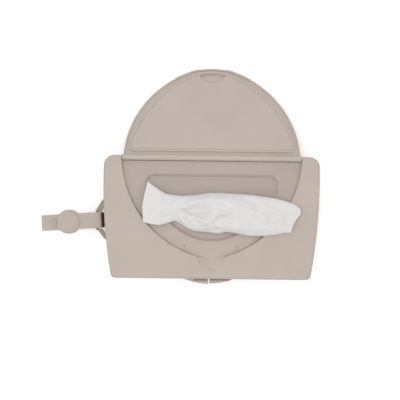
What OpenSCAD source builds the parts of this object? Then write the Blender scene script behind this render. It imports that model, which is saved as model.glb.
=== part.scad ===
// Refillable wipes case, lying on its back: a front shell with a flip lid over
// the dispensing opening, a deep rear shell that holds the folded refill, and a
// soft snap strap on a loop at the left side. Millimetres.
// X runs to the right along the front panel, Y up the panel to the lid's hinge,
// Z out of the front panel. The origin is the centre of the flat back face.

/* [Case] */
// Width of the case at its hinge edge
case_w = 205; // [170:1:250]
// Height of the front panel
case_h = 116.4; // [96:0.2:142]
// Thickness of the closed case
case_t = 36; // [33:0.5:46]
// Depth of the front shell, from the panel to the parting line
front_depth = 12; // [11:0.5:16]
// Thickness of the shells' walls
wall = 2; // [1.6:0.1:2.6]
// Radius of the long bow down each side
side_bow_r = 528; // [400:1:900]
// Radius of the two corners beside the lid's hinge
corner_top_r = 9.5; // [6:0.5:14]
// Radius of the two lower corners
corner_low_r = 4.5; // [3.5:0.5:10]
// Rounding along the front panel's edge
panel_round = 2.5; // [1:0.1:3.5]
// Rounding along the back's edge
back_round = 6; // [4:0.5:8]
// How far both shells draw in at the parting line
rim_draft = 1; // [0.4:0.1:1.6]

/* [Lid] */
// Width of the shoulder left on each side of the lid
shoulder_w = 17; // [14:0.5:24]
// Panel left below the lid's recess
chin_h = 19.7; // [16:0.1:30]
// Depth of the recess that the closed lid lies in
recess_depth = 4; // [3.5:0.1:5]
// Radius of the lid's hinge barrel
barrel_r = 2.8; // [2.4:0.1:3.2]
// Radius of the stub pins at the barrel's ends
stub_r = 1.2; // [0.9:0.1:1.5]
// Gap between the lid and its recess
lid_gap = 1.4; // [0.8:0.1:2]
// Thickness of the lid's outer skin
lid_skin = 1.8; // [1.4:0.1:2]
// Thickness of the lid's inner panel
liner_t = 1.2; // [0.8:0.1:1.4]
// Angle between the closed lid and its open stop
lid_open = 197; // [90:1:198]
// Width of the soft bead round the liner
seal_w = 2.2; // [1.8:0.1:3]
// Width of the finger pocket in the lid's tip
pocket_w = 25; // [20:0.5:32]

/* [Dispensing opening] */
// Half-width of the dish round the opening
dish_half_w = 63; // [45:0.5:70]
// Depth of the dish below the recess floor
dish_depth = 2; // [1:0.1:2.4]
// Length of the dispensing slot
slot_l = 62; // [40:1:70]
// Width of the dispensing slot
slot_w = 13; // [9:0.5:18]
// Width of the soft ring round the slot
ring_w = 6; // [4:0.5:8]

/* [Refill hinge and tabs] */
// Radius of the refill hinge's knuckles
knuckle_r = 3; // [2.6:0.1:3.4]
// Radius of the hinge pins
hinge_pin_r = 1; // [0.8:0.1:1.3]
// Distance from the middle of the case to each hinge
hinge_x = 50; // [30:1:64]
// Width of the pair of pull tabs
tabs_w = 51.7; // [40:0.1:64]
// How far the pull tabs stand out
tabs_out = 5.2; // [4:0.1:8]

/* [Strap] */
// Width of the band
band_w = 15.4; // [12:0.2:19]
// Thickness of the band
band_t = 2; // [1.6:0.1:2.4]
// Diameter of the band's round end
pad_d = 23.5; // [19:0.5:26]
// Length of the strap from the loop's bar to the fold
strap_l = 54.9; // [50:0.1:80]
// Radius of the loop's bar
loop_bar_r = 1.7; // [1.6:0.1:2.6]
// Room in the loop's window beyond the width of the band
loop_room = 13.2; // [10:0.2:18]

/* [Hidden] */

// Clearances
run_gap = 0.05;     // round a pin that turns
seat_gap = 0.1;     // round a piece set into another
soft_gap = 0.3;     // between soft faces and what they meet
part_gap = 0.2;     // between the two shells' rims
cut_over = 5;       // how far a cutter runs past what it cuts

// Levels and edges of the case
half_w = case_w / 2;
half_h = case_h / 2;
part_z = case_t - front_depth;
bow_y = half_h - 23.2;
body_c = "#c0b3aa";
soft_c = "#bdb0a6";

// Lid's recess, dish and hinge
recess_half_w = half_w - shoulder_w;
recess_z = case_t - recess_depth;
dish_z = recess_z - dish_depth;
trough_y = half_h - 5;
barrel_y = trough_y + barrel_r + 0.4;
barrel_z = case_t - barrel_r - 0.1;
trough_z = barrel_z - barrel_r - 1.1;
recess_tip_y = chin_h - half_h;
nose_a = 20;
side_a = 86.7;
lid_tip_r = 120;
lid_tip_y = recess_tip_y + 2.5;
lip_w = 26.6;
lip_out = 0.8;
grips = [[14.8, 23.6], [24.4, 37.3]];
skin_z = case_t - lid_skin;
liner_z = skin_z - liner_t;
seal_z = recess_z + soft_gap;
seal_side = 6.8;
seal_base = 3.1;
seal_tip = 2.1;
seal_corner = 4.5;
seal_straight = 4.3;
pocket_h = 9.9;
pocket_depth = liner_t + 0.8;
pocket_tip = seal_tip + seal_w + 0.9;
scoop_r = 28;
scoop_l = 13;
dish_top_y = trough_y - 12.2;
dish_tip_y = recess_tip_y + 15.7;
dish_corner_r = 8.5;
dimple_r = 1.3;
dimple_x = 25;
dimple_y = recess_tip_y + 10.9;
slot_y = dish_tip_y + 25.8;

// Refill hinge, seal and stack
hinge_out = knuckle_r - 0.6;
hinge_y = half_h + hinge_out;
hinge_z = part_z - part_gap / 2;
mid_knuckle_l = 9;
end_knuckle_l = 6;
knuckle_gap = 0.4;
ledge_z = part_z - 2.4;
ledge_w = 2.4;
ledge_t = 2;
flange_t = 1.4;
flange_in = rim_draft + wall + 2.2;
tongue_x = 22;
tongue_t = 1.4;
tongue_l = 6.5;
tongue_out = rim_draft + wall + ledge_w + soft_gap;
weld = 0.8;
seal_ring_w = 1.6;
tab_t = 4.2;
tab_floor = 1;
tab_x = -0.95;
slit_x = -1.5;
slit_w = 1.2;
groove_left = tab_x - 14.9;
groove_right = tab_x + 24.1;
groove_out = 2.1;
groove_in = 0.1;
stack_w = case_w - 2 * 16.5;
stack_h = case_h - 2 * 12.2;
stack_t = 16;
stack_r = 4;

// Strap and loop
loop_window = band_w + loop_room;
loop_y = -4.4;
loop_z = 9;
loop_out = 8.2;
bar_x = -half_w - loop_out;
leg_t = 3.6;
leg_bend_x = -half_w - 3.1;
band_turn = 4;
bend_r = loop_bar_r + soft_gap + band_w / 2 * sin(abs(band_turn));
bar_half = band_w / 2 + soft_gap + (bend_r + band_t) * sin(abs(band_turn));
fold_gap = 1.2;
snap_gap = 1.6;
snap_x = bar_x - 28.2;
spare_x = snap_x - 16.5;
cap_d = pad_d - 3.1;
cap_t = 1.2;
socket_d = 8.4;
stud_d = 2.8;
low_z = band_t / 2;
mid_z = low_z + band_t + fold_gap;
top_z = mid_z + band_t + snap_gap;

// ---------- outlines ----------

function turn(c, r, a) = [c[0] + r * cos(a), c[1] + r * sin(a)];
function arc(c, r, a0, a1, n) = [for (i = [0:n]) turn(c, r, a0 + (a1 - a0) * i / n)];
function mirrored(half) = [for (i = [len(half) - 1:-1:0]) [-half[i][0], half[i][1]]];

// Case outline, drawn in by i: long bowed sides and four corner fillets
bow_x = half_w - side_bow_r;
function fillet_x(y, i, r) = bow_x + sqrt(pow(side_bow_r - i - r, 2) - pow(y - bow_y, 2));
function case_half(i) =
    let (
        rt = max(corner_top_r - i, 0.8),
        rb = max(corner_low_r - i, 0.8),
        yt = half_h - i - rt,
        yb = -half_h + i + rb,
        ct = [fillet_x(yt, i, rt), yt],
        cb = [fillet_x(yb, i, rb), yb],
        at = atan2(yt - bow_y, ct[0] - bow_x),
        ab = atan2(yb - bow_y, cb[0] - bow_x),
        side = arc([bow_x, bow_y], side_bow_r - i, ab, at, 8)
    )
    concat(
        arc(cb, rb, -90, ab, 4),
        [for (k = [1:7]) side[k]],
        arc(ct, rt, at, 90, 6)
    );
function case_outline(i) = concat(case_half(i), mirrored(case_half(i)));

// D-shaped arch: half-width w at height y1, tip at y0. The nose arc runs to the
// angle a0 and the side arc on to a1, counted from straight down. i draws it in.
function arch_r(w, y1, y0, a0, a1) =
    (y1 - y0 - w * tan(a0 / 2)) / (1 - cos(a1) - tan(a0 / 2) * sin(a1));
function arch_half(w, y1, y0, a0, a1, i, n0, n1) =
    let (
        r = arch_r(w, y1, y0, a0, a1),
        cx = r * sin(a1) - w,
        cy = y1 + r * cos(a1),
        rn = r - cx / sin(a0),
        yn = cy - (r - rn) * cos(a0)
    )
    concat(
        [for (k = [0:n0]) let (a = a0 * k / n0) [(rn - i) * sin(a), yn - (rn - i) * cos(a)]],
        [for (k = [1:n1]) let (a = a0 + (a1 - a0) * k / n1) [(r - i) * sin(a) - cx, cy - (r - i) * cos(a)]]
    );
// Closed arch with a straight stretch up to top_y and rounded upper corners
function arch(w, y1, y0, a0, a1, i, top_y, corner, n0, n1) =
    let (
        h = arch_half(w, y1, y0, a0, a1, i, n0, n1),
        x = w - i,
        c = [x - corner, top_y - corner],
        right = concat([for (k = [1:len(h) - 1]) h[k]], arc(c, corner, 0, 90, 4))
    )
    concat([h[0]], right, mirrored(right));

function recess_outline(i, top_y) =
    arch(recess_half_w, trough_y, recess_tip_y, nose_a, side_a, i, top_y, 0.4, 4, 14);
// The straight stretch keeps the side arc's end below the corner when drawn in
function seal_outline(i) =
    arch(recess_half_w - seal_side, trough_y - seal_base - seal_corner - seal_straight,
        lid_tip_y + seal_tip, 27.7, 74, i, trough_y - seal_base - i, seal_corner - i, 5, 14);
function dish_outline(i) =
    arch(dish_half_w, dish_top_y - 17.5, dish_tip_y, 29.5, 64, i, dish_top_y - i, dish_corner_r - i, 5, 7);

function slot_outline(l, w) = concat(
    arc([(l - w) / 2, slot_y], w / 2, -90, 90, 10),
    arc([-(l - w) / 2, slot_y], w / 2, 90, 270, 10)
);

// ---------- shared shapes ----------

// Solid through a stack of rings with the same number of points, capped at both ends
module loft(rings) {
    n = len(rings[0]);
    last = len(rings) - 1;
    polyhedron(
        points = [for (ring = rings) for (p = ring) p],
        faces = concat(
            [[for (i = [0:n - 1]) i]],
            [for (j = [0:last - 1]) for (i = [0:n - 1])
                [j * n + i, (j + 1) * n + i, (j + 1) * n + (i + 1) % n, j * n + (i + 1) % n]],
            [[for (i = [n - 1:-1:0]) last * n + i]]
        ),
        convexity = 8
    );
}

// Endless bead: the last ring joins the first
module loft_loop(rings) {
    n = len(rings[0]);
    m = len(rings);
    polyhedron(
        points = [for (ring = rings) for (p = ring) p],
        faces = [for (j = [0:m - 1]) for (i = [0:n - 1])
            let (k = (j + 1) % m)
            [j * n + i, k * n + i, k * n + (i + 1) % n, j * n + (i + 1) % n]],
        convexity = 8
    );
}

function at_z(outline, z) = [for (p = outline) [p[0], p[1], z]];

module slab(outline, z0, z1) {
    translate([0, 0, z0]) linear_extrude(z1 - z0) polygon(outline);
}

module ring_slab(outer, inner, z0, z1) {
    translate([0, 0, z0]) linear_extrude(z1 - z0) difference() {
        polygon(outer);
        polygon(inner);
    }
}

module box(x0, x1, y0, y1, z0, z1) {
    translate([x0, y0, z0]) cube([x1 - x0, y1 - y0, z1 - z0]);
}

// Round bar along X
module bar(x0, x1, y, z, r) {
    translate([x0, y, z]) rotate([0, 90, 0]) cylinder(h = x1 - x0, r = r, $fn = 48);
}

// Puts the lid's pieces, drawn closed, at the open stop
module opened() {
    translate([0, barrel_y, barrel_z])
        rotate([-lid_open, 0, 0])
            translate([0, -barrel_y, -barrel_z])
                children();
}

// Half-moon that both pull tabs are cut from
module tab_moon(x0, x1, z0, z1) {
    r = (pow(tabs_w / 2, 2) + pow(tabs_out, 2)) / (2 * tabs_out);
    intersection() {
        translate([tab_x, r - half_h - tabs_out, z0]) cylinder(h = z1 - z0, r = r, $fn = 96);
        box(x0, x1, -half_h - tabs_out - 1, -half_h + rim_draft + wall / 2, z0, z1);
    }
}

// Knuckles of the refill hinge: the same places serve both shells
module each_hinge() {
    for (side = [-1, 1]) translate([side * hinge_x, 0, 0]) children();
}

// ---------- front shell ----------

module front_tray() {
    z_edge = case_t - panel_round;
    loft(concat(
        [at_z(case_outline(wall + 1.4), case_t - wall)],
        [at_z(case_outline(wall + 0.3), case_t - wall - 1.2)],
        [at_z(case_outline(rim_draft + wall), part_z)],
        [at_z(case_outline(rim_draft), part_z)],
        [for (a = [0:30:90]) at_z(case_outline(panel_round * (1 - cos(a))), z_edge + panel_round * sin(a))]
    ));
}

module front_knuckle() {
    x = mid_knuckle_l / 2;
    bar(-x, x, hinge_y, hinge_z, knuckle_r);
    box(-x, x, half_h - rim_draft - wall / 2, hinge_y, part_z, part_z + 2.4);
}

module front_shell() {
    inner = wall - seat_gap;
    color(body_c) difference() {
        union() {
            front_tray();
            // Walls of the recess and the dish stand down from the panel
            slab(recess_outline(-inner, trough_y + 3.6), recess_z - wall, case_t - wall / 2);
            slab(dish_outline(-inner), dish_z - wall, recess_z - wall / 2);
            // Trough under the lid's barrel, with a socket block at each end
            box(-recess_half_w - inner, recess_half_w + inner, trough_y - inner, half_h - 1.2,
                trough_z - wall, case_t - wall / 2);
            for (side = [-1, 1])
                translate([side * (recess_half_w + 2), 0, 0])
                    box(-2, 2, trough_y - inner, half_h - 0.8, trough_z - wall, case_t - wall);
            // Block under the thumb scoop
            box(-17, 17, recess_tip_y - scoop_l - 1, recess_tip_y + 1, recess_z - wall, case_t - wall / 2);
            // Flange that presses the case seal, and the guide tongue on it
            ring_slab(case_outline(rim_draft + wall - weld), case_outline(flange_in),
                part_z + part_gap, part_z + part_gap + flange_t);
            box(-tongue_x, tongue_x, -half_h + flange_in - weld / 2, -half_h + tongue_out + tongue_t,
                part_z + part_gap, part_z + part_gap + flange_t);
            box(-tongue_x, tongue_x, -half_h + tongue_out, -half_h + tongue_out + tongue_t,
                part_z - tongue_l, part_z + part_gap + flange_t / 2);
            // Left pull tab
            tab_moon(-half_w, slit_x - slit_w / 2, part_z + part_gap, part_z + part_gap + tab_t);
            each_hinge() front_knuckle();
        }
        slab(recess_outline(0, half_h + cut_over), recess_z, case_t + cut_over);
        slab(dish_outline(0), dish_z, case_t + cut_over);
        slab(slot_outline(slot_l + 2 * ring_w, slot_w + 2 * ring_w), dish_z - cut_over, case_t);
        box(-recess_half_w, recess_half_w, trough_y, half_h + cut_over, trough_z, case_t + cut_over);
        for (side = [-1, 1])
            translate([side * (recess_half_w + 1), 0, 0])
                bar(-1.4, 1.4, barrel_y, barrel_z, stub_r + run_gap);
        // Thumb scoop: a round bar laid at a slant across the panel's edge
        intersection() {
            translate([0, recess_tip_y - scoop_l, case_t])
                rotate([-atan(recess_depth / scoop_l), 0, 0])
                    translate([0, -scoop_r, scoop_r])
                        rotate([-90, 0, 0])
                            cylinder(h = scoop_l + scoop_r + 6, r = scoop_r, $fn = 96);
            box(-scoop_r, scoop_r, -half_h, recess_tip_y + 3, recess_z, case_t + cut_over);
        }
        for (side = [-1, 1])
            translate([side * dimple_x, dimple_y, recess_z - 0.8]) cylinder(h = 2, r = dimple_r, $fn = 24);
        each_hinge() bar(-mid_knuckle_l, mid_knuckle_l, hinge_y, hinge_z, hinge_pin_r + run_gap);
        // Finger groove in the tab
        box(groove_left, slit_x - slit_w / 2 - 1, -half_h - groove_out, -half_h + groove_in,
            part_z + part_gap + tab_floor, part_z + part_gap + tab_t + 1);
    }
}

module dispensing_ring() {
    neck = slot_outline(slot_l + 2 * ring_w - 2 * seat_gap, slot_w + 2 * ring_w - 2 * seat_gap);
    lip = slot_outline(slot_l + 2 * ring_w + 3, slot_w + 2 * ring_w + 3);
    color(soft_c) difference() {
        union() {
            slab(neck, dish_z - wall, dish_z + 0.5);
            slab(lip, dish_z, dish_z + 0.8);
        }
        slab(slot_outline(slot_l, slot_w), dish_z - cut_over, dish_z + cut_over);
    }
}

// ---------- rear shell ----------

module rear_tub() {
    low_draft = rim_draft + 1.2;
    inner_r = back_round - wall;
    rim_z = part_z - part_gap;
    loft(concat(
        [for (a = [90:-30:0])
            at_z(case_outline(low_draft + back_round * (1 - cos(a))), back_round * (1 - sin(a)))],
        [at_z(case_outline(rim_draft), rim_z)],
        [at_z(case_outline(rim_draft + wall), rim_z)],
        [for (a = [0:45:90])
            at_z(case_outline(low_draft + wall + inner_r * (1 - cos(a))), wall + inner_r * (1 - sin(a)))]
    ));
}

module rear_knuckles() {
    x0 = mid_knuckle_l / 2 + knuckle_gap;
    for (side = [-1, 1]) translate([side * (x0 + end_knuckle_l / 2), 0, 0]) {
        bar(-end_knuckle_l / 2, end_knuckle_l / 2, hinge_y, hinge_z, knuckle_r);
        box(-end_knuckle_l / 2, end_knuckle_l / 2, half_h - rim_draft - wall / 2, hinge_y,
            part_z - part_gap - 2.4, part_z - part_gap);
    }
}

module rear_shell() {
    color(body_c) difference() {
        union() {
            rear_tub();
            // Ledge that the case seal lies on
            ring_slab(case_outline(rim_draft + wall - weld), case_outline(rim_draft + wall + ledge_w),
                ledge_z - ledge_t, ledge_z);
            // Right pull tab
            tab_moon(slit_x + slit_w / 2, half_w, part_z - part_gap - tab_t, part_z - part_gap);
            each_hinge() rear_knuckles();
        }
        each_hinge() bar(-20, 20, hinge_y, hinge_z, hinge_pin_r);
        box(slit_x + slit_w / 2 - 1, groove_right, -half_h - groove_out, -half_h + groove_in,
            part_z - part_gap - tab_t + tab_floor, part_z + 1);
        // Sockets for the loop's legs
        for (side = [-1, 1])
            translate([-half_w, loop_y + side * (loop_window + leg_t) / 2, loop_z])
                cube([20, leg_t + 0.02, leg_t + 0.02], center = true);
    }
}

module case_seal() {
    color(soft_c)
        ring_slab(case_outline(rim_draft + wall + 0.6), case_outline(rim_draft + wall + 0.6 + seal_ring_w),
            ledge_z, part_z + part_gap - soft_gap);
}

module case_hinge_pins() {
    l = mid_knuckle_l / 2 + knuckle_gap + end_knuckle_l;
    color("#9a9a9c") each_hinge() bar(-l, l, hinge_y, hinge_z, hinge_pin_r);
}

module wipes_stack() {
    x = stack_w / 2 - stack_r;
    y = stack_h / 2 - stack_r;
    rounded = concat(
        arc([x, y], stack_r, 0, 90, 5), arc([-x, y], stack_r, 90, 180, 5),
        arc([-x, -y], stack_r, 180, 270, 5), arc([x, -y], stack_r, 270, 360, 5)
    );
    color("#e4e4e4") slab(rounded, wall + soft_gap, wall + soft_gap + stack_t);
}

// ---------- lid ----------

function lid_edge(i) =
    [for (p = recess_outline(lid_gap + i, barrel_y))
        let (y_tip = lid_tip_y + i + lid_tip_r - sqrt(pow(lid_tip_r, 2) - pow(p[0], 2)))
        [p[0], max(p[1], y_tip)]];

module lid_cover() {
    half_barrel = recess_half_w - 0.6;
    lip_r = 60;
    color(body_c) opened() difference() {
        union() {
            loft([
                at_z(lid_edge(0), skin_z),
                at_z(lid_edge(0), case_t - 0.7),
                at_z(lid_edge(0.7), case_t)
            ]);
            // Low wall round the edge, and the thumb lip at the tip
            ring_slab(lid_edge(0.05), lid_edge(1.4), liner_z + 0.2, skin_z + 0.5);
            intersection() {
                translate([0, lid_tip_y - lip_out + lip_r, skin_z]) cylinder(h = lid_skin - 0.4, r = lip_r, $fn = 96);
                box(-lip_w / 2, lip_w / 2, lid_tip_y - 2, lid_tip_y + 3, skin_z, case_t);
            }
            // Two shallow grips on each side of the lip
            for (side = [-1, 1], grip = grips) intersection() {
                slab(lid_edge(-lip_out), skin_z, case_t - 0.4);
                box(min(side * grip), max(side * grip), lid_tip_y - 2, lid_tip_y + 20, skin_z, case_t);
            }
            bar(-half_barrel, half_barrel, barrel_y, barrel_z, barrel_r);
            bar(-half_barrel - 1.6, half_barrel + 1.6, barrel_y, barrel_z, stub_r);
        }
        finger_pocket(skin_z - 1, liner_z + pocket_depth);
    }
}

// Lens between two arcs, near the lid's tip
module finger_pocket(z0, z1) {
    sag_tip = 1.5;
    r_tip = (pow(pocket_w / 2, 2) + pow(sag_tip, 2)) / (2 * sag_tip);
    sag_in = pocket_h - sag_tip;
    r_in = (pow(pocket_w / 2, 2) + pow(sag_in, 2)) / (2 * sag_in);
    y0 = lid_tip_y + pocket_tip;
    intersection() {
        translate([0, y0 + r_tip, z0]) cylinder(h = z1 - z0, r = r_tip, $fn = 96);
        translate([0, y0 + pocket_h - r_in, z0]) cylinder(h = z1 - z0, r = r_in, $fn = 96);
    }
}

module lid_liner() {
    color(body_c) opened() difference() {
        slab(seal_outline(seal_w + seat_gap), liner_z, skin_z);
        finger_pocket(liner_z - 1, skin_z + 1);
    }
}

module lid_seal() {
    color(soft_c) opened() loft_loop([
        at_z(seal_outline(0), skin_z),
        at_z(seal_outline(seal_w), skin_z),
        at_z(seal_outline(seal_w), seal_z + 0.7),
        at_z(seal_outline(seal_w * 0.75), seal_z + 0.15),
        at_z(seal_outline(seal_w / 2), seal_z),
        at_z(seal_outline(seal_w * 0.25), seal_z + 0.15),
        at_z(seal_outline(0), seal_z + 0.7)
    ]);
}

// ---------- strap ----------

module strap_loop() {
    y_in = loop_window / 2;
    x_in = -half_w + 5;
    corner = 0.8;
    half_bar = loop_bar_r - 0.15;
    color("#928f7e") union() {
        for (side = [-1, 1])
            translate([0, loop_y, loop_z - leg_t / 2]) linear_extrude(leg_t) polygon([
                [x_in, side * y_in],
                [leg_bend_x, side * y_in],
                [bar_x + half_bar, side * bar_half],
                [bar_x - half_bar, side * bar_half],
                [bar_x - half_bar, side * (bar_half + corner)],
                [leg_bend_x - corner, side * (y_in + leg_t)],
                [x_in, side * (y_in + leg_t)]
            ]);
        translate([bar_x, loop_y, loop_z]) rotate([90, 0, 0])
            cylinder(h = 2 * (bar_half + corner), r = loop_bar_r, center = true, $fn = 48);
    }
}

// Puts the strap's pieces, drawn along X, at the slight angle it lies at
module on_bar() {
    translate([bar_x, loop_y, 0]) rotate([0, 0, band_turn]) translate([-bar_x, 0, 0]) children();
}

// Middle line of the band from the side, from the round end over the bar and back
fold_x = bar_x - strap_l + band_t;
bend_mid = bend_r + band_t / 2;
pad_x = snap_x;
near_fillet_r = 3;
far_fillet_r = 7.8;
function pad_fillet_x(r) = sqrt(pow(pad_d / 2 + r, 2) - pow(band_w / 2 + r, 2));
pad_flat = max(pad_d / 2, pad_fillet_x(near_fillet_r));
function band_line() =
    let (fold_r = (mid_z - low_z) / 2)
    concat(
        [[pad_x - pad_d / 2 + 1, top_z], [pad_x + pad_flat, top_z]],
        [[pad_x + pad_flat + 6, top_z + 1.3]],
        arc([bar_x, loop_z], bend_mid, 105, -100, 12),
        [[pad_x + pad_d / 2 + 4, low_z + 0.9], [pad_x + pad_d / 2 - 3, low_z]],
        arc([fold_x, (low_z + mid_z) / 2], fold_r, 270, 90, 8),
        [[pad_x + 7, mid_z]]
    );
function unit(v) = v / norm(v);
function across(line, i) =
    let (
        a = line[max(i - 1, 0)],
        b = line[min(i + 1, len(line) - 1)],
        d = unit(b - a)
    )
    [-d[1], d[0]];
function band_side(line, off) = [for (i = [0:len(line) - 1]) line[i] + off * across(line, i)];

// Round pad on one layer of the band; hollow fillets lead it into the band at one end
module pad(z, r, end) {
    z0 = z - band_t / 2 + 0.01;
    x1 = pad_fillet_x(r);
    y1 = pad_d / 2 * (band_w / 2 + r) / (pad_d / 2 + r);
    translate([pad_x, 0, z0]) {
        cylinder(h = band_t - 0.02, r = pad_d / 2, $fn = 96);
        for (side = [-1, 1]) scale([end, side, 1]) difference() {
            box(3, x1, band_w / 2 - 1, y1, 0, band_t - 0.02);
            translate([x1, band_w / 2 + r - 0.05, -1]) cylinder(h = band_t + 2, r = r, $fn = 96);
        }
    }
}

module strap_band() {
    line = band_line();
    left = band_side(line, band_t / 2);
    right = band_side(line, -band_t / 2);
    color(soft_c) on_bar() difference() {
        union() {
            translate([0, band_w / 2, 0]) rotate([90, 0, 0]) linear_extrude(band_w)
                polygon(concat(left, [for (i = [len(right) - 1:-1:0]) right[i]]));
            pad(top_z, near_fillet_r, 1);
            pad(mid_z, far_fillet_r, -1);
        }
        translate([pad_x, 0, top_z - band_t]) cylinder(h = 2 * band_t, r = socket_d / 2 + run_gap, $fn = 48);
    }
}

module snap_cap() {
    color(soft_c) on_bar() translate([pad_x, 0, top_z + band_t / 2]) cylinder(h = cap_t, r = cap_d / 2, $fn = 96);
}

module snap_socket() {
    color("#a9a39a") on_bar() translate([pad_x, 0, top_z - band_t / 2]) difference() {
        cylinder(h = band_t, r = socket_d / 2, $fn = 48);
        translate([0, 0, -1]) cylinder(h = band_t, r = stud_d / 2 + soft_gap, $fn = 48);
    }
}

module snap_studs() {
    color("#a9a39a") on_bar() {
        translate([pad_x, 0, mid_z + band_t / 2]) {
            cylinder(h = 0.8, r = socket_d / 2, $fn = 48);
            cylinder(h = snap_gap + 0.7, r = stud_d / 2, $fn = 48);
        }
        translate([spare_x, 0, mid_z + band_t / 2]) {
            cylinder(h = 0.8, r = socket_d / 2, $fn = 48);
            cylinder(h = 1.6, r = stud_d / 2, $fn = 48);
        }
    }
}

// ---------- wipe ----------

// Shape of the pulled-up wipe from left to right: place, lower edge, upper edge,
// height above its underside, and the level of its underside. Edges count from the slot
over_panel = case_t + soft_gap + 0.4;
over_recess = recess_z + soft_gap + 0.7;
wipe_plan = [
    [20.5 - recess_half_w, -8, 17, 2, over_panel], [24.5 - recess_half_w, -10, 29, 4, over_panel],
    [35.5 - recess_half_w, -11, 23, 9, over_panel],
    [-36, -7, 17, 13, over_recess], [-24, -13, 16.5, 16, over_recess], [-4, -18, 18.5, 18, over_recess],
    [15, -18, 19, 17, over_recess], [36, -21, 17.4, 14, over_recess],
    [recess_half_w - 37.5, -20.6, 15.6, 9.5, over_panel], [recess_half_w - 29.5, -20, 14.4, 8.5, over_panel],
    [recess_half_w - 11.5, -17.5, 11, 6, over_panel], [recess_half_w - 2.5, -5, 5, 2, over_panel]
];
function blend_at(x, k) =
    let (
        i = max([for (j = [0:len(wipe_plan) - 2]) wipe_plan[j][0] <= x ? j : 0]),
        a = wipe_plan[i],
        b = wipe_plan[i + 1],
        t = (x - a[0]) / (b[0] - a[0]),
        s = t * t * (3 - 2 * t)
    )
    a[k] * (1 - s) + b[k] * s;
neck_x = -12;
neck_w = 28;
neck_half = slot_w / 2 - 2.5;
neck_low_z = wall + stack_t + 2 * soft_gap;
curl = 0.5;
wipe_n = 12;
wipe_stations = 30;
// One closed section across the wipe: folded crown above, nearly flat below, with a
// neck down into the slot. The edges curl up a little.
function wipe_section(x) =
    let (
        lo = slot_y + blend_at(x, 1),
        hi = slot_y + blend_at(x, 2),
        rise = blend_at(x, 3),
        base = blend_at(x, 4),
        share = max(0.02, 1 - pow((x - neck_x) / (neck_w / 2), 8)),
        neck_z = base - (base - neck_low_z) * share
    )
    concat(
        [for (k = [0:wipe_n])
            let (
                u = k / wipe_n,
                crown = pow(sin(180 * u), 0.7),
                fold = 0.16 * sin(360 * 2.5 * u + 3 * x) * sin(180 * u)
            )
            [x, hi + (lo - hi) * u, base + 1 + curl + rise * (crown + fold)]],
        [[x, lo, base + curl], [x, slot_y - neck_half, base], [x, slot_y - neck_half + 0.5, neck_z],
            [x, slot_y + neck_half - 0.5, neck_z], [x, slot_y + neck_half, base], [x, hi, base + curl]]
    );
module wipe_sheet() {
    x0 = wipe_plan[0][0];
    x1 = wipe_plan[len(wipe_plan) - 1][0];
    color("#e6e6e6")
        loft([for (j = [0:wipe_stations]) wipe_section(x0 + (x1 - x0) * j / wipe_stations)]);
}

rear_shell();
case_seal();
case_hinge_pins();
strap_loop();
wipes_stack();
front_shell();
dispensing_ring();
wipe_sheet();
lid_cover();
lid_liner();
lid_seal();
strap_band();
snap_cap();
snap_socket();
snap_studs();
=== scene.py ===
import math

import bmesh
import bpy
import numpy as np
from mathutils import Matrix, Vector


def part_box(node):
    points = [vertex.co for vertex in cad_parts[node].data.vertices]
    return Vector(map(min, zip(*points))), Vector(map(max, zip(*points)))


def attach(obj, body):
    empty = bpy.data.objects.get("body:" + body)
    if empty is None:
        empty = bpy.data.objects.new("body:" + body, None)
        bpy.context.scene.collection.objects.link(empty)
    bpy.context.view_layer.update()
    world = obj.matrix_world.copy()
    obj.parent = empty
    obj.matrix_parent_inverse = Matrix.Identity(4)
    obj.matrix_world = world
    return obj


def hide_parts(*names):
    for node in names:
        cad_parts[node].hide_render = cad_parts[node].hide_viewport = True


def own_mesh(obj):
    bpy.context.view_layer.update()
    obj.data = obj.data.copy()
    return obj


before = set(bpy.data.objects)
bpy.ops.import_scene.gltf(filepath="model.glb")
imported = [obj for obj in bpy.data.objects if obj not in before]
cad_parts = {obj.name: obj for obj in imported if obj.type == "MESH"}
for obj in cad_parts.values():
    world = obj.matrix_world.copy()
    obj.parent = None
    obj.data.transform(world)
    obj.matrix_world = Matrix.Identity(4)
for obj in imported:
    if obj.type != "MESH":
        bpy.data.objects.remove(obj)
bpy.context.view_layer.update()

# ---------------------------------------------------------------- studio
# The case lies on a white table and is seen from straight above, with a lens of
# about 76 mm. A pale room and one wide soft lamp light it. Rays that make the picture
# see room and table brighter than they light the case, which keeps them white.


def new_object(name, data):
    """An object in the scene's collection."""
    made = bpy.data.objects.new(name, data)
    bpy.context.scene.collection.objects.link(made)
    return made


camera_data = bpy.data.cameras.new("camera")
camera_data.lens = 76
camera_data.sensor_width = 36
camera = new_object("camera", camera_data)
camera.location = (-0.0108, 0.01645, 0.8332)
camera.rotation_euler = (0, 0, math.radians(0.7))
bpy.context.scene.camera = camera
bpy.context.scene.view_settings.view_transform = "Standard"

lamp_data = bpy.data.lights.new("high_lamp", "AREA")
lamp_data.shape = "SQUARE"
lamp_data.size = 0.45
lamp_data.energy = 3.9
high_lamp = new_object("high_lamp", lamp_data)
lamp_place, lamp_aim = Vector((-0.12, 0.03, 1.25)), Vector((0, 0, 0.03))
high_lamp.location = lamp_place
high_lamp.rotation_euler = (lamp_aim - lamp_place).to_track_quat("-Z", "Y").to_euler()


def add(tree, kind, links=(), **values):
    """A new node; links are (input, socket) and values are inputs by name."""
    node = tree.nodes.new(kind)
    for key, value in values.items():
        if key in node.bl_rna.properties:
            setattr(node, key, value)
        else:
            node.inputs[key.replace("_", " ")].default_value = value
    for name, socket in links:
        tree.links.new(socket, node.inputs[name])
    return node


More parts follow.
